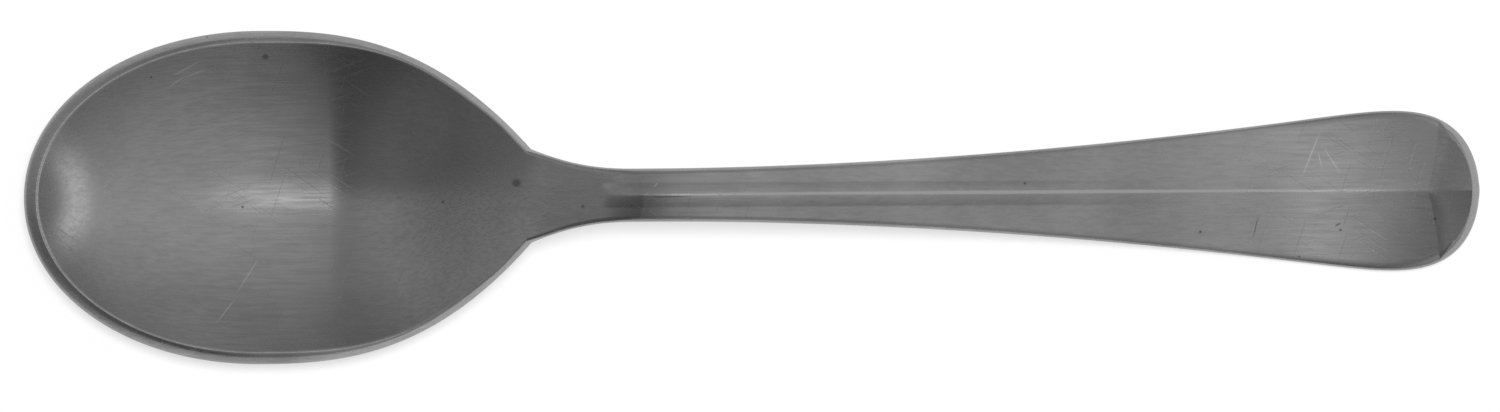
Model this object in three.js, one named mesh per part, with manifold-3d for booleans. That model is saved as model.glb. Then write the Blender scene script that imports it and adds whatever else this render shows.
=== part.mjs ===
// A demitasse spoon: a pressed bowl brazed to the tongue of a forged handle.
// Millimetres. +X runs from the tip of the bowl to the end of the handle, +Z is up out of the bowl.
// Distances along the spoon are measured from the tip, and the finished spoon is centred at the end.
import * as THREE from 'three';
import Module from 'manifold-3d';

const wasm = await Module();
wasm.setup();

// Bowl in plan.
const bowlLength = 37.7;          // tip to the shoulder
const bowlWidth = 24.9;           // over the sharp back edge
const tipToWidest = 17.6;
const tipRoundness = 2.04;        // 2 is an ellipse
const heelRun = 22.9;             // behind the widest line, where the heel curve would meet the axis
const heelPower = 2.56;

// Bowl in section.
const bowlDepth = 6.0;            // edge of the back down to its lowest point
const bowlWall = 1.35;
const tipToDeepest = 21;
const tipCurl = 0.55;             // share of the depth that the curled-up tip takes
const tipCurlPower = 7;
const tipLift = 0.4;              // rise of the rim towards the tip
const hollowRun = 18.5;           // deepest point to where the hollow runs out in the neck
const footWear = 0.06;            // worn flat under the bowl
const rimBreak = 0.24;            // polished inner corner of the sheet edge
const backBreak = 0.1;            // outer corner

// Handle in plan.
const handleLength = 70.3;        // shoulder to end
const neckWidth = 3.92;
const flareLength = 7.5;          // shoulder to the narrow stem
const flarePower = 2.1;
const taperStart = 9.3;           // shoulder to where the stem begins to widen
const taperSpread = 10.4;         // widening that the taper would reach without the round end
const taperPower = 1.83;
const endRoundLength = 16.5;
const endRoundPower = 4.95;

// Handle from the side. The stem rises to an arch and sinks to a foot near the turned-up end.
const archFromShoulder = 10.3;
const archStart = 9.7;            // in front of the shoulder, where the rim starts to rise
const archRise = 3.6;
const footFromEnd = 11.5;
const endTurnUp = 0.8;
const stemFaceHeight = 1.1;       // top edge of the stem above the sheet that it continues
const endFaceHeight = 0.95;
const stemBackDepth = 1.1;        // back of the stem below that sheet
const endBackDepth = 0.65;
const stemEdgeRound = 0.4;
const neckBackPower = 3.6;        // 2 is an ellipse, more is squarer
const stemBackPower = 2.2;
const endBackPower = 3.2;
const handleFootWear = 0.04;

// Relief on the face of the handle.
const neckFlat = 5.3;             // plain neck between the shoulder and the rib
const ridgeHeight = 0.5;
const ridgeEase = 4.5;
const ridgeRound = 0.25;          // softness of the ridge along the stem
const ridgeRoundEnd = 0.05;
const ribWidth = 1.8;
const ribHeight = 0.16;
const ribEase = 2.4;
const ribFadeStart = 34;          // behind the shoulder, where the rib starts to sink into the ridge
const ribFadeEnd = 52;
const lipLength = 3.75;           // arris to the end, on the axis
const lipBow = 0.85;              // the arris bends this far towards the end beside the ridge
const lipHeight = 0.24;
const lipRun = 1.3;

// Joint. The bowl lies on the tongue, and filler fills the space between them.
const jointGap = 0.2;
const jointClearance = 0.05;      // between the filler and each piece
const jointCover = 0.12;          // filler stays this far inside the joint's edges
const tongueLength = 5.6;
const tongueWidth = 5.5;
const tongueRoundPower = 2.5;
const tongueBackPower = 2.2;
const tongueRoot = 1.4;           // how far the tongue runs into the stem
const tongueInset = 0.03;         // tongue's back inside the stem's back at the root

const overallLength = bowlLength + handleLength;
const archAt = bowlLength + archFromShoulder;
const footAt = overallLength - footFromEnd;
const ribAt = bowlLength + neckFlat;
const lipAt = overallLength - lipLength;
const hollowEnd = tipToDeepest + hollowRun;
const bowlEdge = bowlLength - jointGap / 2;
const stemFront = bowlLength + jointGap / 2;

const { clamp, lerp, smoothstep } = THREE.MathUtils;
const share = (x, from, to) => clamp((x - from) / (to - from), 0, 1);

// Half width of the bowl's outline.
function bowlHalf(x) {
  if (x < tipToWidest) {
    const forward = clamp((tipToWidest - x) / tipToWidest, 0, 1);
    return bowlWidth / 2 * (1 - forward ** tipRoundness) ** (1 / tipRoundness);
  }
  return bowlWidth / 2 * (1 - clamp((x - tipToWidest) / heelRun, 0, 1) ** heelPower);
}

// Half width of the handle before its end is rounded, and how far x lies into the rounding.
function stemHalf(x) {
  const flare = 1 - share(x, bowlLength, bowlLength + flareLength);
  const taper = share(x, bowlLength + taperStart, overallLength);
  const neckHalf = neckWidth / 2;
  return neckHalf + (bowlHalf(bowlLength) - neckHalf) * flare ** flarePower
    + taperSpread / 2 * taper ** taperPower;
}

const endRounding = (x) => share(x, overallLength - endRoundLength, overallLength) ** endRoundPower;
const handleHalf = (x) => stemHalf(x) * Math.sqrt(1 - endRounding(x));
const halfWidth = (x) => (x < bowlLength ? bowlHalf(x) : handleHalf(x));

// Edge line of the sheet, seen from the side. The foot sets how far the handle sinks.
function edgeHeight(x) {
  const rim = bowlDepth - footWear;
  const foot = endBackDepth - handleFootWear;
  const lift = tipLift * share(x, tipToDeepest, 0) ** 2;
  const rise = archRise * smoothstep(x, bowlLength - archStart, archAt);
  const fall = (rim + archRise - foot) * smoothstep(x, archAt, footAt);
  return rim + lift + rise - fall + endTurnUp * share(x, footAt, overallLength) ** 2;
}

// Depth of the hollow on the axis.
function hollowDepth(x) {
  if (x < tipToDeepest) {
    const forward = (tipToDeepest - x) / tipToDeepest;
    return bowlDepth * (1 - (1 - tipCurl) * forward ** 2 - tipCurl * forward ** tipCurlPower);
  }
  return bowlDepth * (1 - share(x, tipToDeepest, hollowEnd) ** 2) ** 2;
}

// Height of the sheet: the bowl's back, carried on through the middle of the handle.
function sheetHeight(x, y) {
  const across = y / Math.max(halfWidth(x), 1e-6);
  return edgeHeight(x) - hollowDepth(x) * (1 - across ** 2);
}

// Point at a height square to the sheet. The slope is taken just inside the outline.
function onSheet(x, y, height) {
  const inside = 0.998;
  const step = 0.01;
  const sx = x < tipToDeepest ? tipToDeepest + (x - tipToDeepest) * inside : x;
  const sy = y * inside;
  const slopeX = (sheetHeight(sx + step, sy) - sheetHeight(sx - step, sy)) / (2 * step);
  const slopeY = (sheetHeight(sx, sy + step) - sheetHeight(sx, sy - step)) / (2 * step);
  const normal = new THREE.Vector3(-slopeX, -slopeY, 1).normalize();
  return new THREE.Vector3(x, y, sheetHeight(x, y)).addScaledVector(normal, height);
}

// Closed skin over a run of rings. Points that coincide are shared, and end rings are closed by fans.
function skin(rings) {
  const points = [];
  const numbers = new Map();
  const faces = [];
  const numberOf = (p) => {
    const key = p.toArray().map((value) => value.toFixed(5)).join();
    if (!numbers.has(key)) {
      numbers.set(key, points.length);
      points.push(p);
    }
    return numbers.get(key);
  };
  const addFace = (a, b, c) => {
    const face = [a, b, c].map(numberOf);
    if (new Set(face).size === 3) faces.push(face);
  };
  const count = rings[0].length;
  for (let i = 0; i + 1 < rings.length; i += 1) {
    for (let j = 0; j < count; j += 1) {
      const k = (j + 1) % count;
      addFace(rings[i][j], rings[i][k], rings[i + 1][k]);
      addFace(rings[i][j], rings[i + 1][k], rings[i + 1][j]);
    }
  }
  const close = (ring, flip) => {
    const middle = new THREE.Vector3();
    ring.forEach((p) => middle.addScaledVector(p, 1 / count));
    ring.forEach((p, j) => {
      const next = ring[(j + 1) % count];
      if (flip) addFace(middle, next, p);
      else addFace(middle, p, next);
    });
  };
  close(rings[0], true);
  close(rings[rings.length - 1], false);
  const volume = faces.reduce((sum, [a, b, c]) => (
    sum + points[a].dot(new THREE.Vector3().crossVectors(points[b], points[c]))
  ), 0);
  const outward = volume > 0 ? faces : faces.map(([a, b, c]) => [a, c, b]);
  return new wasm.Manifold(new wasm.Mesh({
    numProp: 3,
    vertProperties: new Float32Array(points.flatMap((p) => p.toArray())),
    triVerts: new Uint32Array(outward.flat()),
  }));
}

const steps = (from, to, count) => (
  Array.from({ length: count + 1 }, (_, i) => lerp(from, to, i / count))
);

// Pressed bowl: rings that follow the outline, up over the sheet's edge and back inside.
function makeBowl() {
  const tipRays = 16;
  const heelRays = 12;
  const jointRays = 4;
  const half = steps(0, Math.PI / 2, tipRays).map((angle) => tipToWidest * (1 - Math.cos(angle)));
  half.push(...steps(tipToWidest, bowlEdge, heelRays).slice(1));
  const right = half.map((x) => new THREE.Vector2(x, bowlHalf(x)));
  right.push(...steps(bowlHalf(bowlEdge), 0, jointRays).slice(1)
    .map((y) => new THREE.Vector2(bowlEdge, y)));
  const left = right.slice(1, -1).reverse().map((p) => new THREE.Vector2(p.x, -p.y));
  const outline = [...right, ...left];
  const centre = new THREE.Vector2(tipToDeepest, 0);

  // One ring at a share of the way out, drawn in from the outline, at a height above the back.
  const ring = (out, inset, height) => outline.map((rim) => {
    const reach = rim.distanceTo(centre);
    const kept = rim.x < bowlEdge ? inset : inset / 5;
    const p = centre.clone().lerp(rim, out * (1 - kept / reach));
    const point = onSheet(p.x, p.y, height);
    point.z = Math.max(point.z, 0);
    return point;
  });
  const shares = [0, 0.08, 0.2, 0.33, 0.46, 0.58, 0.69, 0.79, 0.87, 0.93, 0.97];
  const rings = shares.map((out) => ring(out, 0, 0));
  rings.push(ring(1, backBreak, 0));
  rings.push(ring(1, 0, backBreak));
  rings.push(ring(1, 0, bowlWall - rimBreak));
  rings.push(ring(1, rimBreak, bowlWall));
  rings.push(...shares.reverse().map((out) => ring(out, 0, bowlWall)));
  return skin(rings);
}

// Heights of the handle's face edge and of its back, from the sheet.
const alongStem = (x) => smoothstep(x, ribAt, footAt);
const faceHeight = (x) => (
  lerp(lerp(bowlWall, stemFaceHeight, smoothstep(x, bowlLength, archAt)), endFaceHeight, alongStem(x))
);
const backDepth = (x) => lerp(stemBackDepth, endBackDepth, alongStem(x));
const alongNeck = (x) => smoothstep(x, bowlLength, ribAt);
const edgeRound = (x) => lerp(rimBreak, stemEdgeRound, alongNeck(x));

// Ridge, rib and lip that stand on the handle's face.
const arrisAt = (across) => lipAt + lipBow * (1 - (1 - Math.abs(across)) ** 2);

function relief(x, y) {
  const across = y / Math.max(handleHalf(x), 1e-6);
  const past = x - arrisAt(across);
  const softness = lerp(ridgeRound, ridgeRoundEnd, alongStem(x));
  const fromRidge = (Math.hypot(y, softness) - softness) / stemHalf(x);
  const ridge = ridgeHeight * smoothstep(x, ribAt, ribAt + ridgeEase) * (1 - fromRidge);
  const fade = 1 - smoothstep(x, bowlLength + ribFadeStart, bowlLength + ribFadeEnd);
  const crown = Math.max(1 - (y / (ribWidth / 2)) ** 2, 0);
  const rib = ribHeight * fade * smoothstep(x, ribAt, ribAt + ribEase) * crown;
  const lip = lipHeight * (1 - (1 - clamp(past / lipRun, 0, 1)) ** 2);
  return ridge * (1 - smoothstep(past, 0, lipRun)) + rib + lip;
}

// Height of the handle's face and back. Both meet at the outline, where edge is 1.
function handleFace(x, y) {
  const edge = Math.sqrt((y / stemHalf(x)) ** 2 + endRounding(x));
  const inside = clamp(1 - edge, 0, 1) * stemHalf(x);
  const round = edgeRound(x);
  const over = Math.max(round - inside, 0) / round;
  const drop = round * (1 - Math.sqrt(1 - over ** 2));
  return faceHeight(x) + relief(x, y) * Math.min(inside / round, 1) - drop;
}

function handleBack(x, y) {
  const edge = Math.min(Math.sqrt((y / stemHalf(x)) ** 2 + endRounding(x)), 1);
  const power = lerp(lerp(neckBackPower, stemBackPower, alongNeck(x)), endBackPower, alongStem(x));
  const rim = faceHeight(x) - edgeRound(x);
  return rim - (rim + backDepth(x)) * (1 - edge ** power) ** (1 / power);
}

// Forged stem: sections from the shoulder to the end. Sections near the end bend along the arris.
function makeStem() {
  const places = [
    ...steps(stemFront, ribAt - 0.4, 6),
    ...steps(ribAt, ribAt + ridgeEase, 7),
    ...steps(ribAt + ridgeEase + 1.5, footAt - 1, 20),
    ...steps(footAt + 0.5, lipAt - 1.2, 5),
    ...steps(lipAt, lipAt + lipRun, 3),
    ...steps(0, Math.PI / 2, 7).slice(1)
      .map((angle) => lerp(lipAt + lipRun, overallLength, Math.sin(angle))),
  ];
  const sections = places.map((place) => {
    const bend = Math.min(share(place, lipAt - 3, lipAt), share(place, overallLength, lipAt));
    const column = (across, height) => {
      const x = place + lipBow * (1 - (1 - Math.abs(across)) ** 2) * bend;
      const y = across * handleHalf(x);
      const point = onSheet(x, y, height(x, y));
      point.z = Math.max(point.z, 0);
      return point;
    };
    const half = Math.max(handleHalf(place), 1e-6);
    const round = Math.min(edgeRound(place) / half, 0.4);
    const rib = Math.min(ribWidth / 2 / half, 0.5);
    const flank = steps(rib, 1 - round, 3);
    const side = [rib / 2, ...flank, 1 - round / 2, 1 - round / 8, 1];
    const face = [...side.map((v) => -v).reverse(), 0, ...side];
    const back = steps(-75, 75, 10).map((angle) => Math.sin(THREE.MathUtils.degToRad(angle)));
    return [
      ...face.map((across) => column(across, handleFace)),
      ...back.reverse().map((across) => column(across, handleBack)),
    ];
  });
  return skin(sections);
}

// Round-ended tongue under the heel of the bowl.
const tongueFront = bowlLength - tongueLength;
const tongueRounding = (x) => share(x, bowlLength, tongueFront) ** tongueRoundPower;
const tongueHalf = (x) => tongueWidth / 2 * Math.sqrt(1 - tongueRounding(x));

function makeTongue() {
  const places = [
    ...steps(Math.PI / 2, 0, 8).map((angle) => lerp(bowlLength, tongueFront, Math.sin(angle))),
    stemFront + tongueRoot,
  ];
  const thickness = stemBackDepth - jointGap - tongueInset;
  const sections = places.map((x) => {
    const across = steps(-90, 90, 12).map((angle) => Math.sin(THREE.MathUtils.degToRad(angle)));
    const top = across.map((v) => onSheet(x, v * tongueHalf(x), -jointGap));
    const back = across.slice(1, -1).reverse().map((v) => {
      const edge = Math.min(v ** 2 * (1 - tongueRounding(x)) + tongueRounding(x), 1);
      const swell = (1 - edge ** (tongueBackPower / 2)) ** (1 / tongueBackPower);
      return onSheet(x, v * tongueHalf(x), -jointGap - thickness * swell);
    });
    return [...top, ...back];
  });
  return skin(sections);
}

// Filler: a film over the tongue and an upstand in the butt line.
function makeFiller() {
  const plate = (places, halfAt, low, high) => skin(places.map((x) => {
    const across = steps(-1, 1, 8);
    const inside = Math.max(halfAt(x) - jointCover, jointCover);
    return [
      ...across.map((v) => onSheet(x, v * inside, high)),
      ...across.reverse().map((v) => onSheet(x, v * inside, low)),
    ];
  }));
  const skinDepth = jointGap - jointClearance;
  const back = stemFront - jointClearance;
  const front = bowlEdge + jointClearance;
  const filmPlaces = [
    ...steps(tongueFront + 4 * jointCover, bowlLength - 1, 6),
    front,
    back,
  ];
  const film = plate(filmPlaces, tongueHalf, -skinDepth, -jointClearance);
  const upstandHalf = (x) => Math.min(bowlHalf(bowlEdge), handleHalf(stemFront)) - stemEdgeRound;
  const upstand = plate([front, back], upstandHalf, -skinDepth, bowlWall - jointCover);
  return film.add(upstand);
}

// The finished spoon is centred between the edge of its tip and its end.
const tipEdge = onSheet(0, 0, backBreak).x;

function finish(name, solid, color) {
  const { vertProperties, triVerts } = solid.getMesh();
  const geometry = new THREE.BufferGeometry();
  geometry.setAttribute('position', new THREE.BufferAttribute(new Float32Array(vertProperties), 3));
  geometry.setIndex(new THREE.BufferAttribute(new Uint32Array(triVerts), 1));
  geometry.translate(-(tipEdge + overallLength) / 2, 0, 0);
  geometry.computeVertexNormals();
  const material = new THREE.MeshStandardMaterial({ color, metalness: 1, roughness: 0.35 });
  const mesh = new THREE.Mesh(geometry, material);
  mesh.name = name;
  return mesh;
}

const spoon = new THREE.Group();
spoon.name = 'demitasse_spoon';
spoon.add(
  finish('bowl', makeBowl(), 0xc4c5c6),
  finish('handle', makeStem().add(makeTongue()), 0xbfc0c1),
  finish('braze_joint', makeFiller(), 0xb8b098),
);

export default spoon;
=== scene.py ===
import math
from types import SimpleNamespace

import bmesh
import bpy
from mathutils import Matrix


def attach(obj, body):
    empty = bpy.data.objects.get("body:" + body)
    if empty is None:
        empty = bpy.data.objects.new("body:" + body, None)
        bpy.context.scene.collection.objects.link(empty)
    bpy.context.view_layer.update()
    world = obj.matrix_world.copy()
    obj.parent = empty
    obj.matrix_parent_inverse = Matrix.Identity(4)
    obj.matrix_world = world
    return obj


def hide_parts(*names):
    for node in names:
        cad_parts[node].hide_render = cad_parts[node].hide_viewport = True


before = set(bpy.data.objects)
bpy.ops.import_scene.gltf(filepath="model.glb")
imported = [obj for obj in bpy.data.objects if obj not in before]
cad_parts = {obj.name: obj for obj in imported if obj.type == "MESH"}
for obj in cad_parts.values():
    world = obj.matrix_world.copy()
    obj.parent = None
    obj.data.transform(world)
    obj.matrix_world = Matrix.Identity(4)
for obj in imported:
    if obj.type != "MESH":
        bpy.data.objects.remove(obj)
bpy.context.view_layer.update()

# Bowl: an oval shell pressed from one sheet of satin-polished metal.
# The sheet's edge is left square to the sheet and only its corners are broken by polishing,
# so the rim shows as a narrow band that is widest round the steep tip.
MM = 0.001
QUARTER_TURN = math.pi / 2
TIP_X = -54.041 * MM                  # the tip's sharp back edge in the frame

bowl_sizes = {
    "bowl_length": 37.7 * MM,         # tip to the shoulder, where the handle is brazed on
    "bowl_half": 12.45 * MM,
    "tip_to_widest": 17.6 * MM,
    "tip_roundness": 2.04,            # 2 is an ellipse
    "heel_run": 22.9 * MM,
    "heel_power": 2.56,
    "bowl_depth": 6.0 * MM,
    "bowl_wall": 1.35 * MM,
    "tip_to_deepest": 22.6 * MM,
    "tip_curl": 0.55,                 # share of the depth that the curled-up tip takes
    "tip_curl_power": 7.0,
    "tip_lift": 0.4 * MM,
    "hollow_run": 16.9 * MM,          # from the deepest line to where the hollow ends in the neck
    "foot_wear": 0.06 * MM,
    "rim_round": 0.26 * MM,
    "arch_from": 28.0 * MM,           # where the rim starts to rise to the arch of the stem
    "arch_to": 48.0 * MM,
    "arch_rise": 3.6 * MM,
}


def add_node(tree, kind, inputs=None, **settings):
    """Adds one node with its settings, values and links."""
    node = tree.nodes.new(kind)
    for name, value in settings.items():
        setattr(node, name, value)
    for key, value in (inputs or {}).items():
        if isinstance(value, bpy.types.NodeSocket):
            tree.links.new(value, node.inputs[key])
        else:
            node.inputs[key].default_value = value
    return node


class Field:
    """A number that varies over a tree. Sums, products and powers of fields become Math nodes."""

    def __init__(self, tree, socket):
        self.tree = tree
        self.socket = socket

    def math(self, operation, *others):
        values = {i: getattr(v, "socket", v) for i, v in enumerate((self, *others))}
        node = add_node(self.tree, "ShaderNodeMath", values, operation=operation)
        return Field(self.tree, node.outputs[0])

    def between(self, start, end, kind="LINEAR"):
        """Share of the way from start to end, held at 0 and 1 outside them."""
        ends = {
            "Value": self.socket,
            "From Min": getattr(start, "socket", start),
            "From Max": getattr(end, "socket", end),
        }
        node = add_node(self.tree, "ShaderNodeMapRange", ends, interpolation_type=kind)
        return Field(self.tree, node.outputs[0])

    def __add__(self, other):
        return self.math("ADD", other)

    def __sub__(self, other):
        return self.math("SUBTRACT", other)

    def __mul__(self, other):
        return self.math("MULTIPLY", other)

    def __truediv__(self, other):
        return self.math("DIVIDE", other)

    def __pow__(self, power):
        return self.math("POWER", power)

    def __rsub__(self, other):
        return self.math("MULTIPLY_ADD", -1.0, other)

    __radd__ = __add__
    __rmul__ = __mul__


def share(x, start, end):
    """0 at the start and 1 at the end, held outside."""
    return x.between(start, end)


def smooth(x, start, end):
    """The same, with soft ends."""
    return x.between(start, end, "SMOOTHSTEP")


def mix(a, b, amount):
    """a where the amount is 0 and b where it is 1."""
    return (b - a) * amount + a


def bowl_outline(s, x):
    """Half width: an ellipse to the tip, and a power curve from the widest line to the heel."""
    forward = share(x, s.tip_to_widest, 0.0)
    backward = share(x, s.tip_to_widest, s.tip_to_widest + s.heel_run)
    tip = (1.0 - forward ** s.tip_roundness) ** s.tip_roundness.math("POWER", -1.0)
    return s.bowl_half * tip * (1.0 - backward ** s.heel_power)


def rim_height(s, x):
    """Edge line of the bowl's back seen from the side, rising to the tip and into the stem."""
    lift = s.tip_lift * share(x, s.tip_to_deepest, 0.0) ** 2.0
    return s.bowl_depth - s.foot_wear + lift + s.arch_rise * smooth(x, s.arch_from, s.arch_to)


def hollow(s, x):
    """Depth of the hollow on the axis: flat-bottomed, curled up at the tip, run out in the neck."""
    forward = share(x, s.tip_to_deepest, 0.0)
    tip = 1.0 - (1.0 - s.tip_curl) * forward ** 2.0 - s.tip_curl * forward ** s.tip_curl_power
    heel = 1.0 - share(x, s.tip_to_deepest, s.tip_to_deepest + s.hollow_run) ** 2.0
    return s.bowl_depth * tip * heel ** 2.0


def on_sheet(s, x, y, height, edge_line, outline):
    """Point at a height square to the sheet whose edges follow edge_line and outline.

    Near the joint the outline's own slope is left out, so that bowl and handle meet face to face.
    Along the heel the edge is trimmed nearer to upright, so its band is narrow from above.
    """
    blend_before = 6.0 * MM
    blend_after = 4.0 * MM
    least_half = 0.001 * MM
    before_joint = smooth(x, s.bowl_length - blend_before, s.bowl_length)
    at_joint = before_joint * smooth(x, s.bowl_length + blend_after, s.bowl_length)
    half_here = outline(s, x)

    def sheet(px, py):
        half = mix(outline(s, px), half_here, at_joint)
        across = py / half.math("MAXIMUM", least_half)
        return edge_line(s, px) - hollow(s, px) * (1.0 - across ** 2.0)

    # Slopes are taken a little inside the outline, where they are finite.
    step = 0.03 * MM
    inside = 0.997
    from_deepest = x - s.tip_to_deepest
    sx = x - from_deepest.math("MINIMUM", 0.0) * (1.0 - inside)
    sy = y * inside
    slope_x = (sheet(sx + step, sy) - sheet(sx - step, sy)) / (2.0 * step)
    slope_y = (sheet(sx, sy + step) - sheet(sx, sy - step)) / (2.0 * step)
    up = (slope_x ** 2.0 + slope_y ** 2.0 + 1.0) ** -0.5

    trim = 0.6                        # share of the edge's lean that is taken off
    trim_full = 4.0 * MM              # ahead of the joint, where all of that share is off
    trim_end = 2.0 * MM               # ahead of the joint, from where the trim eases away
    heel = smooth(x, s.tip_to_widest, s.bowl_length - trim_full)
    clear_of_joint = smooth(x, s.bowl_length, s.bowl_length - trim_end)
    lean = 1.0 - heel * clear_of_joint * trim
    return (x - slope_x * up * height + TIP_X,
            y - slope_y * up * height * lean,
            sheet(x, y) + up * height)


def rule_tree(name, sizes, material, *sheets):
    """A tree of grids, each set in place by a rule that takes the sizes and the grid's two shares."""
    weld = 0.002 * MM
    tree = bpy.data.node_groups.new(name, "GeometryNodeTree")
    tree.interface.new_socket("Geometry", in_out="OUTPUT", socket_type="NodeSocketGeometry")
    for size in sizes:
        tree.interface.new_socket(size, in_out="INPUT", socket_type="NodeSocketFloat")
    given = add_node(tree, "NodeGroupInput")
    s = SimpleNamespace(**{size: Field(tree, given.outputs[size]) for size in sizes})
    position = add_node(tree, "GeometryNodeInputPosition")
    place = add_node(tree, "ShaderNodeSeparateXYZ", {0: position.outputs[0]})
    u = Field(tree, place.outputs[0]) + 0.5
    v = Field(tree, place.outputs[1]) + 0.5
    join = add_node(tree, "GeometryNodeJoinGeometry")
    for rule, count_u, count_v in sheets:
        counts = {"Vertices X": count_u, "Vertices Y": count_v}
        grid = add_node(tree, "GeometryNodeMeshGrid", {"Size X": 1.0, "Size Y": 1.0} | counts)
        x, y, z = rule(s, u, v)
        point = add_node(tree, "ShaderNodeCombineXYZ", {0: x.socket, 1: y.socket, 2: z.socket})
        moved = add_node(tree, "GeometryNodeSetPosition",
                         {"Geometry": grid.outputs["Mesh"], "Position": point.outputs[0]})
        closed = add_node(tree, "GeometryNodeMergeByDistance",
                          {"Geometry": moved.outputs[0], "Distance": weld})
        tree.links.new(closed.outputs[0], join.inputs[0])
    real = add_node(tree, "GeometryNodeRealizeInstances", {0: join.outputs[0]})
    dressed = add_node(tree, "GeometryNodeSetMaterial",
                       {"Geometry": real.outputs[0], "Material": material})
    add_node(tree, "NodeGroupOutput", {0: dressed.outputs[0]})
    return tree


def piece_from_rule(name, tree, sizes):
    """Runs a tree once and keeps its result as a plain closed mesh with its hard edges split."""
    no_length = 0.0001 * MM
    hard_edge = math.radians(50)
    piece = bpy.data.objects.new(name, bpy.data.meshes.new(name))
    bpy.context.scene.collection.objects.link(piece)
    modifier = piece.modifiers.new(name, "NODES")
    modifier.node_group = tree
    for item in tree.interface.items_tree:
        if item.in_out == "INPUT":
            modifier[item.identifier] = sizes[item.name]
    shaped = piece.evaluated_get(bpy.context.evaluated_depsgraph_get())
    mesh = bpy.data.meshes.new_from_object(shaped)
    piece.modifiers.clear()
    piece.data = mesh
    solid = bmesh.new()
    solid.from_mesh(mesh)
    bmesh.ops.dissolve_degenerate(solid, dist=no_length, edges=solid.edges)
    bmesh.ops.recalc_face_normals(solid, faces=solid.faces)
    solid.to_mesh(mesh)
    solid.free()
    mesh.shade_smooth()
    mesh.set_sharp_from_angle(angle=hard_edge)
    return piece


def colour(hex_value):
    """Linear colour of an sRGB hex value."""
    channels = [int(hex_value[i:i + 2], 16) / 255 for i in (1, 3, 5)]
    return [*(c / 12.92 if c <= 0.04045 else ((c + 0.055) / 1.055) ** 2.4 for c in channels), 1.0]


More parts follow.
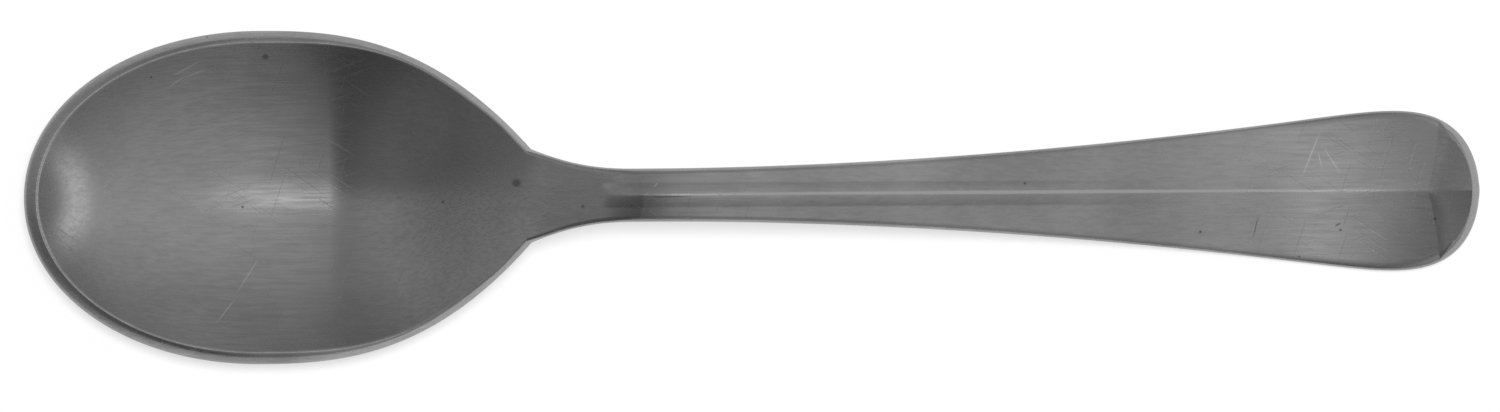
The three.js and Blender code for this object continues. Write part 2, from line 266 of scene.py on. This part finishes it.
def worn_satin_metal(name, bright, dull, roughness, pits_and_shade_at=(), scratches_and_highlights_at=()):
    """Nickel-silver cutlery metal, polished to a satin and worn by use.

    It mirrors softly, is mottled by handling, and shows fine brushing along the spoon,
    stray hairlines in all directions, a few dark pits and the larger scratches of one spoon's life.
    Some marks given to it are painted light: dark strokes of painted shade and light strokes of painted
    highlight.
    A pit, scratch or painted stroke is given in mm and degrees: x, y, half length, half width and turn.
    """
    material = bpy.data.materials.new(name)
    material.use_nodes = True
    tree = material.node_tree
    shader = tree.nodes["Principled BSDF"]
    shader.inputs["Metallic"].default_value = 1.0
    place = add_node(tree, "ShaderNodeTexCoord").outputs["Object"]

    # Mottling: cloudy patches about 9 mm across.
    cloud_size = 9 * MM
    clouds = add_node(tree, "ShaderNodeTexNoise",
                      {"Vector": place, "Scale": 1 / cloud_size, "Detail": 4.0})

    # Brushing: streaks about 0.25 mm wide and 4 mm long, along the spoon.
    streak_width = 0.25 * MM
    streak_length = 16                # in widths
    lengthwise = add_node(tree, "ShaderNodeMapping",
                          {"Vector": place, "Scale": (1 / streak_length, 1.0, 1.0)})
    brush = add_node(tree, "ShaderNodeTexNoise",
                     {"Vector": lengthwise.outputs[0], "Scale": 1 / streak_width,
                      "Detail": 3.0, "Roughness": 0.65})

    # Hairlines: three fields of thin scratches, each turned and cut from its own stretched noise.
    hairline_length = 45              # in widths
    hairline_edge = 0.06
    hairlines = 0.0
    for turn, width, cut in ((0.6, 0.13, 0.68), (-0.35, 0.11, 0.68), (1.9, 0.14, 0.7)):
        turned = add_node(tree, "ShaderNodeMapping",
                          {"Vector": place, "Rotation": (0.0, 0.0, turn), "Location": (width, turn, 0.0)})
        drawn = add_node(tree, "ShaderNodeMapping",
                         {"Vector": turned.outputs[0], "Scale": (1 / hairline_length, 1.0, 0.05)})
        lines = add_node(tree, "ShaderNodeTexNoise",
                         {"Vector": drawn.outputs[0], "Scale": 1 / (width * MM), "Detail": 1.0})
        thin = add_node(tree, "ShaderNodeMapRange",
                        {"Value": lines.outputs[0], "From Min": cut, "From Max": cut + hairline_edge})
        both = add_node(tree, "ShaderNodeMath", {0: hairlines, 1: thin.outputs[0]}, operation="MAXIMUM")
        hairlines = both.outputs[0]

    # Pits: dark dots about 0.2 mm across, a few millimetres apart.
    pit_spacing = 3.2 * MM
    cells = add_node(tree, "ShaderNodeTexVoronoi",
                     {"Vector": place, "Scale": 1 / pit_spacing, "Randomness": 1.0})
    pits = add_node(tree, "ShaderNodeMapRange",
                    {"Value": cells.outputs["Distance"], "From Min": 0.022, "From Max": 0.04,
                     "To Min": 1.0, "To Max": 0.0})

    def marked(marks):
        """Mask of long or round marks with soft ends: dents, and some strokes of painted shade and painted
        highlight.
        """
        mask = 0.0
        plan = add_node(tree, "ShaderNodeMapping", {"Vector": place, "Scale": (1.0, 1.0, 0.0)})
        for x, y, half_length, half_width, turn in marks:
            local = add_node(tree, "ShaderNodeMapping",
                             {"Vector": plan.outputs[0],
                              "Location": (x * MM, y * MM, 0.0),
                              "Rotation": (0.0, 0.0, math.radians(turn)),
                              "Scale": (half_length * MM, half_width * MM, 1.0)},
                             vector_type="TEXTURE")
            far = add_node(tree, "ShaderNodeVectorMath", {0: local.outputs[0]}, operation="LENGTH")
            dent = add_node(tree, "ShaderNodeMapRange",
                            {"Value": far.outputs["Value"], "From Min": 0.5, "From Max": 1.0,
                             "To Min": 1.0, "To Max": 0.0})
            deepest = add_node(tree, "ShaderNodeMath", {0: mask, 1: dent.outputs[0]}, operation="MAXIMUM")
            mask = deepest.outputs[0]
        return mask

    # Colour: clouds and brushing mix the bright and the dull metal, and then come the marks.
    brush_share = 0.6                 # beside the clouds
    grain = add_node(tree, "ShaderNodeMath", {0: brush.outputs[0], 1: brush_share, 2: clouds.outputs[0]},
                     operation="MULTIPLY_ADD")
    mottle = add_node(tree, "ShaderNodeMapRange",
                      {"Value": grain.outputs[0], "From Min": 0.55, "From Max": 1.05})
    metal = add_node(tree, "ShaderNodeMix",
                     {"Factor": mottle.outputs[0], "A": colour(bright), "B": colour(dull)},
                     data_type="RGBA")
    # The light marks include a painted highlight along the handle's ridge, and the dark marks a painted
    # shade line beside the rib's nose.
    for mask, tint in ((marked(scratches_and_highlights_at), "#DADADA"),
                       (marked(pits_and_shade_at), "#949494"),
                       (pits.outputs[0], "#7A7A79")):
        metal = add_node(tree, "ShaderNodeMix",
                         {"Factor": mask, "A": metal.outputs["Result"], "B": colour(tint)},
                         data_type="RGBA")
    tree.links.new(metal.outputs["Result"], shader.inputs["Base Color"])

    # Gloss: smoother and rougher streaks, and rough hairlines.
    smoother = 0.05
    rougher = 0.06
    hairline_roughness = 0.12
    streaks = add_node(tree, "ShaderNodeMapRange",
                       {"Value": brush.outputs[0], "From Min": 0.3, "From Max": 0.7,
                        "To Min": roughness - smoother, "To Max": roughness + rougher})
    scored = add_node(tree, "ShaderNodeMath",
                      {0: hairlines, 1: hairline_roughness, 2: streaks.outputs[0]},
                      operation="MULTIPLY_ADD")
    tree.links.new(scored.outputs[0], shader.inputs["Roughness"])

    # Relief: the streaks' grooves, with the hairlines cut deeper.
    hairline_cut = -0.8               # in heights of the streaks
    groove_height = 0.01 * MM
    relief = add_node(tree, "ShaderNodeMath", {0: hairlines, 1: hairline_cut, 2: brush.outputs[0]},
                      operation="MULTIPLY_ADD")
    bump = add_node(tree, "ShaderNodeBump",
                    {"Height": relief.outputs[0], "Strength": 0.25, "Distance": groove_height})
    tree.links.new(bump.outputs[0], shader.inputs["Normal"])
    return material


bowl_pits = (
    (-36.0, 10.4, 0.3, 0.26, 20),
    (-17.45, 0.95, 0.42, 0.38, 0),
)
bowl_scratches = (
    (-41.8, 9.6, 1.4, 0.06, 28),      # scuffs under the rim
    (-41.2, 9.2, 1.1, 0.05, 21),
    (-42.6, 8.6, 0.9, 0.05, 34),
    (-37.5, -5.8, 1.75, 0.05, 58),    # a bent line across the lower half
    (-39.1, -8.4, 1.35, 0.05, 52),
)
satin = ("#CBCBCB", "#B1B1B1", 0.26)  # bright and dull metal, and roughness
bowl_metal = worn_satin_metal("satin_nickel_silver_bowl", *satin, bowl_pits, bowl_scratches)


def bowl_rule(s, u, v):
    """Rings that run from under the bowl out to the rim, over the sheet's edge and back inside."""
    # Shares of the way round from the tip to the middle of the joint.
    widest_at = 0.5
    heel_from = 0.6
    heel_to = 0.86
    corner_at = 0.92
    # Shares of the way from the middle of the back, over the edge, to the middle of the inside.
    edge_from = 0.43
    edge_to = 0.57
    crowding = 1.4                    # draws the rings together towards the rim
    squareness = 2.0 / 3.2            # of the edge, where 1 is an ellipse

    way = (v * 2.0 - 1.0).math("ABSOLUTE")
    side = (v - 0.5).math("SIGN")
    turn = share(way, 0.0, widest_at) * QUARTER_TURN
    heel = (s.bowl_length - s.tip_to_widest) * share(way, widest_at, corner_at)
    rim_x = s.tip_to_widest * (1.0 - turn.math("COSINE")) + heel
    rim_y = bowl_outline(s, rim_x) * (1.0 - share(way, corner_at, 1.0)) * side

    ring = share(u, 0.0, edge_from) * (1.0 - share(u, edge_to, 1.0))
    out = 1.0 - (1.0 - ring) ** crowding
    lean = (share(u, edge_from, edge_to) * 2.0 - 1.0) * QUARTER_TURN
    rise = lean.math("SINE").math("ABSOLUTE") ** squareness * lean.math("SIGN")
    inset = s.rim_round * (1.0 - lean.math("COSINE").math("MAXIMUM", 0.0) ** squareness)

    run_x = rim_x - s.tip_to_deepest
    reach = (run_x ** 2.0 + rim_y ** 2.0) ** 0.5
    near_heel = share(way, heel_from, heel_to)
    drawn_x = out * (1.0 - inset / reach * (1.0 - near_heel))
    drawn_y = out * (1.0 - inset / mix(reach, bowl_outline(s, rim_x), near_heel))
    x, y, z = on_sheet(s, s.tip_to_deepest + run_x * drawn_x, rim_y * drawn_y,
                       s.bowl_wall * 0.5 * (rise + 1.0), rim_height, bowl_outline)
    return x, y, z.math("MAXIMUM", 0.0)


bowl_tree = rule_tree("pressed_bowl", bowl_sizes, bowl_metal, (bowl_rule, 190, 401))
bowl = piece_from_rule("bowl_shell", bowl_tree, bowl_sizes)
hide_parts("bowl")
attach(bowl, "root")


# Handle: a stem forged from bar, ribbed along its face, spread to a ridged end with a turned-up lip.
# Its tongue runs under the heel of the bowl, and the face is polished flush with the bowl's inside.
handle_sizes = bowl_sizes | {
    "overall_length": 108.0 * MM,
    "neck_half": 1.96 * MM,
    "flare_length": 7.5 * MM,
    "flare_power": 2.1,
    "taper_from": 47.0 * MM,
    "taper_spread": 5.2 * MM,
    "taper_power": 1.83,
    "end_round_from": 91.5 * MM,
    "end_round_power": 4.95,
    "foot_at": 96.5 * MM,             # where the handle rests on the table
    "end_turn_up": 0.8 * MM,
    "stem_face": 1.1 * MM,            # height of the face's edge over the sheet line
    "end_face": 0.95 * MM,
    "stem_back": 1.1 * MM,            # depth of the back under it
    "end_back": 0.65 * MM,
    "handle_foot_wear": 0.04 * MM,
    "stem_edge_round": 0.4 * MM,
    "neck_back_power": 3.6,           # 2 is a round back, and more is squarer
    "stem_back_power": 2.2,
    "end_back_power": 3.2,
    "rib_at": 43.0 * MM,
    "ridge_height": 0.5 * MM,
    "ridge_ease": 3.2 * MM,
    "ridge_soft": 0.25 * MM,
    "ridge_soft_end": 0.05 * MM,
    "rib_half": 0.9 * MM,
    "rib_height": 0.2 * MM,
    "rib_ease": 1.5 * MM,
    "rib_fade_from": 71.7 * MM,
    "rib_fade_to": 89.7 * MM,
    "lip_at": 104.25 * MM,
    "lip_bow": 0.85 * MM,
    "lip_height": 0.5 * MM,
    "lip_run": 1.0 * MM,
    "lip_curl": 0.3 * MM,
    "lip_curl_run": 3.4 * MM,
    "tongue_length": 5.6 * MM,
    "tongue_half": 2.75 * MM,
    "joint_gap": 0.2 * MM,
}


def stem_outline(s, x):
    """Half width of the handle before its end is rounded."""
    flare = 1.0 - share(x, s.bowl_length, s.bowl_length + s.flare_length)
    taper = share(x, s.taper_from, s.overall_length)
    shoulder = bowl_outline(s, s.bowl_length)
    neck = s.neck_half + (shoulder - s.neck_half) * flare ** s.flare_power
    return neck + s.taper_spread * taper ** s.taper_power


def end_rounding(s, x):
    """0 along the stem and 1 at the very end."""
    return share(x, s.end_round_from, s.overall_length) ** s.end_round_power


def handle_outline(s, x):
    """Half width of the handle with its round end."""
    return stem_outline(s, x) * (1.0 - end_rounding(s, x)).math("MAXIMUM", 0.0) ** 0.5


def handle_line(s, x):
    """Edge line of the sheet that the handle carries on: up to the arch, down to the foot, then up."""
    fall = s.bowl_depth - s.foot_wear + s.arch_rise - s.end_back + s.handle_foot_wear
    turn_up = s.end_turn_up * share(x, s.foot_at, s.overall_length) ** 2.0
    return rim_height(s, x) - fall * smooth(x, s.arch_to, s.foot_at) + turn_up


def face_height(s, x):
    """Height of the face over the sheet line, before its relief."""
    near = mix(s.bowl_wall, s.stem_face, smooth(x, s.bowl_length, s.arch_to))
    return mix(near, s.end_face, smooth(x, s.rib_at, s.foot_at))


def edge_round(s, x):
    """Rounding of the face's edge, from the bowl's rim to the stem."""
    return mix(s.rim_round, s.stem_edge_round, smooth(x, s.bowl_length, s.rib_at))


def edge_share(s, x, y):
    """0 on the axis and 1 on the outline, sides and end alike."""
    return (((y / stem_outline(s, x)) ** 2.0 + end_rounding(s, x)) ** 0.5).math("MINIMUM", 1.0)


def face_relief(s, x, y, across):
    """Ridge, rib and lip that stand on the face."""
    side = across.math("ABSOLUTE")
    past = x - s.lip_at - s.lip_bow * (1.0 - (1.0 - side) ** 2.0)
    soft = mix(s.ridge_soft, s.ridge_soft_end, smooth(x, s.rib_at, s.foot_at))
    from_ridge = ((y ** 2.0 + soft ** 2.0) ** 0.5 - soft) / stem_outline(s, x)
    ridge = s.ridge_height * smooth(x, s.rib_at, s.rib_at + s.ridge_ease) * (1.0 - from_ridge)
    crown = (1.0 - (y / s.rib_half) ** 2.0).math("MAXIMUM", 0.0)
    fade = 1.0 - smooth(x, s.rib_fade_from, s.rib_fade_to)
    rib = s.rib_height * fade * smooth(x, s.rib_at, s.rib_at + s.rib_ease) * crown
    step_up = 1.0 - (1.0 - share(past, 0.0, s.lip_run)) ** 2.0
    curl = s.lip_curl * share(past, 0.0, s.lip_curl_run) ** 2.0
    return mix(ridge, s.lip_height, step_up) + rib + curl


def handle_rule(s, u, v):
    """Sections from the shoulder to the end. The first is drawn together to close the front."""
    # Shares of the sections: the closed front, the neck, the stem, the crease and the end.
    front_closed = 0.002
    neck_from = 0.004
    stem_from = 0.16
    crease_from = 0.68
    end_from = 0.86
    before_lip = 3.0 * MM
    # Shares of a section: the face, and on each half of it the rib, the flank and the rounded edge.
    face_to = 0.62
    rib_to = 0.34
    flank_to = 0.74
    most_rib = 0.5
    most_edge = 0.4
    least_half = 0.0001 * MM

    stem_start = s.rib_at + s.ridge_ease
    to_end = (share(u, end_from, 1.0) * QUARTER_TURN).math("SINE")
    place = (s.bowl_length + (stem_start - s.bowl_length) * share(u, neck_from, stem_from)
             + (s.lip_at - before_lip - stem_start) * share(u, stem_from, crease_from)
             + (s.lip_run + before_lip) * share(u, crease_from, end_from)
             + (s.overall_length - s.lip_at - s.lip_run) * to_end)

    on_back = v.math("GREATER_THAN", face_to)
    front = share(v, 0.0, face_to) * 2.0 - 1.0
    reach = front.math("ABSOLUTE")
    half = handle_outline(s, place).math("MAXIMUM", least_half)
    rib = (s.rib_half / half).math("MINIMUM", most_rib)
    edge = (edge_round(s, place) / half).math("MINIMUM", most_edge)
    roll = (share(reach, flank_to, 1.0) * QUARTER_TURN).math("SINE")
    flank = (1.0 - rib - edge) * share(reach, rib_to, flank_to)
    face_across = (rib * share(reach, 0.0, rib_to) + flank + edge * roll) * front.math("SIGN")
    back_across = (share(v, face_to, 1.0) * math.pi).math("COSINE")
    across = mix(face_across, back_across, on_back)
    side = across.math("ABSOLUTE")

    # Sections near the lip are bowed, so that one of them lies along the crease.
    towards = share(place, s.lip_at - before_lip, s.lip_at)
    bend = towards.math("MINIMUM", share(place, s.overall_length, s.lip_at))
    x = place + s.lip_bow * (1.0 - (1.0 - side) ** 2.0) * bend
    y = across * handle_outline(s, x)

    share_out = edge_share(s, x, y)
    inside = (1.0 - share_out) * stem_outline(s, x)
    round_size = edge_round(s, x)
    over = (1.0 - inside / round_size).math("MAXIMUM", 0.0)
    drop = round_size * (1.0 - (1.0 - over ** 2.0).math("MAXIMUM", 0.0) ** 0.5)
    face = face_height(s, x) + face_relief(s, x, y, across) * share(inside, 0.0, round_size) - drop

    along_stem = smooth(x, s.rib_at, s.foot_at)
    near_power = mix(s.neck_back_power, s.stem_back_power, smooth(x, s.bowl_length, s.rib_at))
    power = mix(near_power, s.end_back_power, along_stem)
    rim = face_height(s, x) - round_size
    depth = mix(s.stem_back, s.end_back, along_stem)
    swell = (1.0 - share_out ** power).math("MAXIMUM", 0.0) ** power.math("POWER", -1.0)
    back = rim - (rim + depth) * swell

    drawn = share(u, 0.0, front_closed)
    height = mix(face, back, on_back) * drawn
    x, y, z = on_sheet(s, x, y * drawn, height, handle_line, handle_outline)
    return x, y, z.math("MAXIMUM", 0.0)


def whole_outline(s, x):
    """Half width of the spoon on both sides of the joint."""
    return mix(bowl_outline(s, x), handle_outline(s, x), x.math("GREATER_THAN", s.bowl_length))


def tongue_shape(s, u, v, spread, top, thickness):
    """Round-ended tongue under the heel of the bowl, swelling to the back and rooted in the stem."""
    root = 1.4 * MM
    root_from = 0.9                   # shares of the sections
    root_to = 0.98
    end_power = 2.5
    back_power = 2.2

    length = s.tongue_length + spread
    to_end = (share(u, root_from, 0.0) * QUARTER_TURN).math("SINE")
    x = s.bowl_length - length * to_end + root * share(u, root_from, root_to)
    rounding = share(x, s.bowl_length, s.bowl_length - length) ** end_power
    on_back = v.math("GREATER_THAN", 0.5)
    across = (v * (2.0 * math.pi)).math("COSINE") * -1.0
    drawn = 1.0 - share(u, root_to, 1.0)
    y = across * (s.tongue_half + spread) * (1.0 - rounding).math("MAXIMUM", 0.0) ** 0.5 * drawn
    edge_squared = (across ** 2.0 * (1.0 - rounding) + rounding).math("MINIMUM", 1.0)
    swell = (1.0 - edge_squared ** (back_power / 2)).math("MAXIMUM", 0.0) ** (1 / back_power)
    height = top - thickness * swell * on_back * drawn
    return on_sheet(s, x, y, height, handle_line, whole_outline)


def tongue_rule(s, u, v):
    """The handle's own tongue, a little shallower than the stem so that the two blend."""
    inset = 0.03 * MM
    return tongue_shape(s, u, v, 0.0, s.joint_gap * -1.0, s.stem_back - s.joint_gap - inset)


# Dark pits, and one dark stroke of painted shade beside the rib's nose.
handle_pits_and_painted_shade = (
    (-12.55, -0.8, 0.16, 0.16, 0),
    (-6.4, -0.12, 2.2, 0.09, 0),      # painted shade: a dark line along the rib behind its nose, standing in for the shade on its lower side
    (37.3, -2.6, 1.05, 0.06, 77),
    (43.4, -2.5, 0.3, 0.1, 30),
)
# Scratches, and one long light stroke of painted highlight along the ridge's crest.
handle_scratches_and_painted_highlight = (
    (41.45, 2.75, 2.1, 0.075, 68),    # a forked scratch
    (43.0, 2.25, 1.3, 0.065, -57),
    (42.1, 2.3, 0.8, 0.06, -76),
    (-7.15, 0.75, 0.25, 0.1, 45),
    (20.5, 0.06, 31.0, 0.17, 0),      # painted highlight along the ridge's crest, drawn as lighter metal
)
handle_metal = worn_satin_metal("satin_nickel_silver_handle", *satin, handle_pits_and_painted_shade, handle_scratches_and_painted_highlight)
tongue_grid = (60, 81)
handle_tree = rule_tree("forged_handle", handle_sizes, handle_metal,
                        (handle_rule, 501, 151), (tongue_rule, *tongue_grid))
handle = piece_from_rule("handle_forging", handle_tree, handle_sizes)
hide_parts("handle")
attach(handle, "root")


# Braze joint: a film of silver-coloured filler that holds the bowl to the tongue.
# It has flowed out of the gap into a small fillet, which shows only round the tongue on the back.
filler_metal = worn_satin_metal("silver_braze_filler", "#BDBAB0", "#A9A69D", 0.42)


def filler_rule(s, u, v):
    """Film that fills the gap and runs out past the tongue as a fillet."""
    fillet = 0.22 * MM
    bite = 0.03 * MM                  # into the back of the bowl
    fill = 1.4                        # times the gap
    return tongue_shape(s, u, v, fillet, bite, s.joint_gap * fill)


filler_tree = rule_tree("brazed_film", handle_sizes, filler_metal, (filler_rule, *tongue_grid))
filler = piece_from_rule("braze_film", filler_tree, handle_sizes)
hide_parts("braze_joint")
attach(filler, "root")


# Stage: a white sheet under the spoon, a dim dome that is brightest overhead, and one soft lamp.
# The sheet is white to the eye, dimmer in the metal, and keeps the spoon's soft shadow.
bpy.ops.mesh.primitive_plane_add(size=4.0)
floor = bpy.context.object
floor.name = "white_sheet"
paper = bpy.data.materials.new("white_paper")
paper.use_nodes = True
tree = paper.node_tree
tree.nodes.clear()
own_white = 0.62                      # share of the white that doesn't depend on the lamp
white_in_metal = 0.3
path = add_node(tree, "ShaderNodeLightPath")
to_eye = Field(tree, path.outputs["Is Camera Ray"])
to_metal = Field(tree, path.outputs["Is Glossy Ray"])
seen = to_metal * white_in_metal + to_eye
glow = add_node(tree, "ShaderNodeEmission", {"Color": (1.0, 1.0, 1.0, 1.0), "Strength": seen.socket})
matt = add_node(tree, "ShaderNodeBsdfDiffuse", {"Color": colour("#F4F4F4")})
sheet_white = add_node(tree, "ShaderNodeMixShader", {0: own_white, 1: matt.outputs[0], 2: glow.outputs[0]})
add_node(tree, "ShaderNodeOutputMaterial", {0: sheet_white.outputs[0]})
floor.data.materials.append(paper)

# The dome has a bright panel straight above. Left of the panel's edge it is darker, most of all towards
# the lower left, and it lifts a little again far to the left. A strip of light stands low on the right.
world = bpy.data.worlds.new("studio_dome")
bpy.context.scene.world = world
world.use_nodes = True
tree = world.node_tree
tree.nodes.clear()
towards = add_node(tree, "ShaderNodeTexCoord").outputs["Generated"]
direction = add_node(tree, "ShaderNodeSeparateXYZ", {0: towards})
right, back, up = (Field(tree, socket) for socket in direction.outputs)
horizon_level = 0.24
zenith_gain = 0.22
panel_level = 0.75
left_shade = 0.42
lower_left_shade = 0.36               # on top of the left's
left_wall_level = 0.09
strip_level = 0.45
back_gain = 0.1
to_left = smooth(right, 0.02, -0.11)
to_front = smooth(back, 0.06, -0.12)
panel = smooth(up, 0.98, 0.9995) * (1.0 - to_left) * panel_level
shade = to_left * (to_front * lower_left_shade + left_shade)
ceiling = (up * zenith_gain + horizon_level) * (1.0 - shade) + panel
left_wall = share(right, -0.2, -0.6) * left_wall_level
strip_width = smooth(right, 0.74, 0.86) * smooth(right, 0.99, 0.92)
strip = strip_width * smooth(back.math("ABSOLUTE"), 0.7, 0.3) * strip_level
level = (ceiling + left_wall + strip) * (back * back_gain + 1.0)
sky = add_node(tree, "ShaderNodeBackground", {"Color": (1.0, 1.0, 1.0, 1.0), "Strength": level.socket})
add_node(tree, "ShaderNodeOutputWorld", {0: sky.outputs[0]})

# The lamp stands almost overhead and lights only the sheet, for the narrow shadow along the spoon.
lamp_data = bpy.data.lights.new("sheet_lamp", "AREA")
lamp_data.shape = "DISK"
lamp_data.size = 0.3
lamp_data.energy = 34.0
lamp = bpy.data.objects.new("sheet_lamp", lamp_data)
lamp.location = (0.05, 0.13, 2.0)
lamp.rotation_euler = (math.radians(-3.7), 0.0, 0.0)
lamp.visible_glossy = False
bpy.context.scene.collection.objects.link(lamp)

# Camera: a long lens straight above, with the slight tilt of the spoon in the picture.
view_width = 111.03 * MM
camera_distance = 1.2
focus_height = 5.0 * MM
camera_data = bpy.data.cameras.new("copy_camera")
camera_data.sensor_width = 36.0
camera_data.lens = camera_data.sensor_width * camera_distance / view_width
camera = bpy.data.objects.new("copy_camera", camera_data)
camera.location = (-0.22 * MM, -0.85 * MM, camera_distance + focus_height)
camera.rotation_euler = (0.0, 0.0, math.radians(-0.35))
bpy.context.scene.collection.objects.link(camera)
bpy.context.scene.camera = camera

bpy.context.scene.view_settings.view_transform = "Standard"
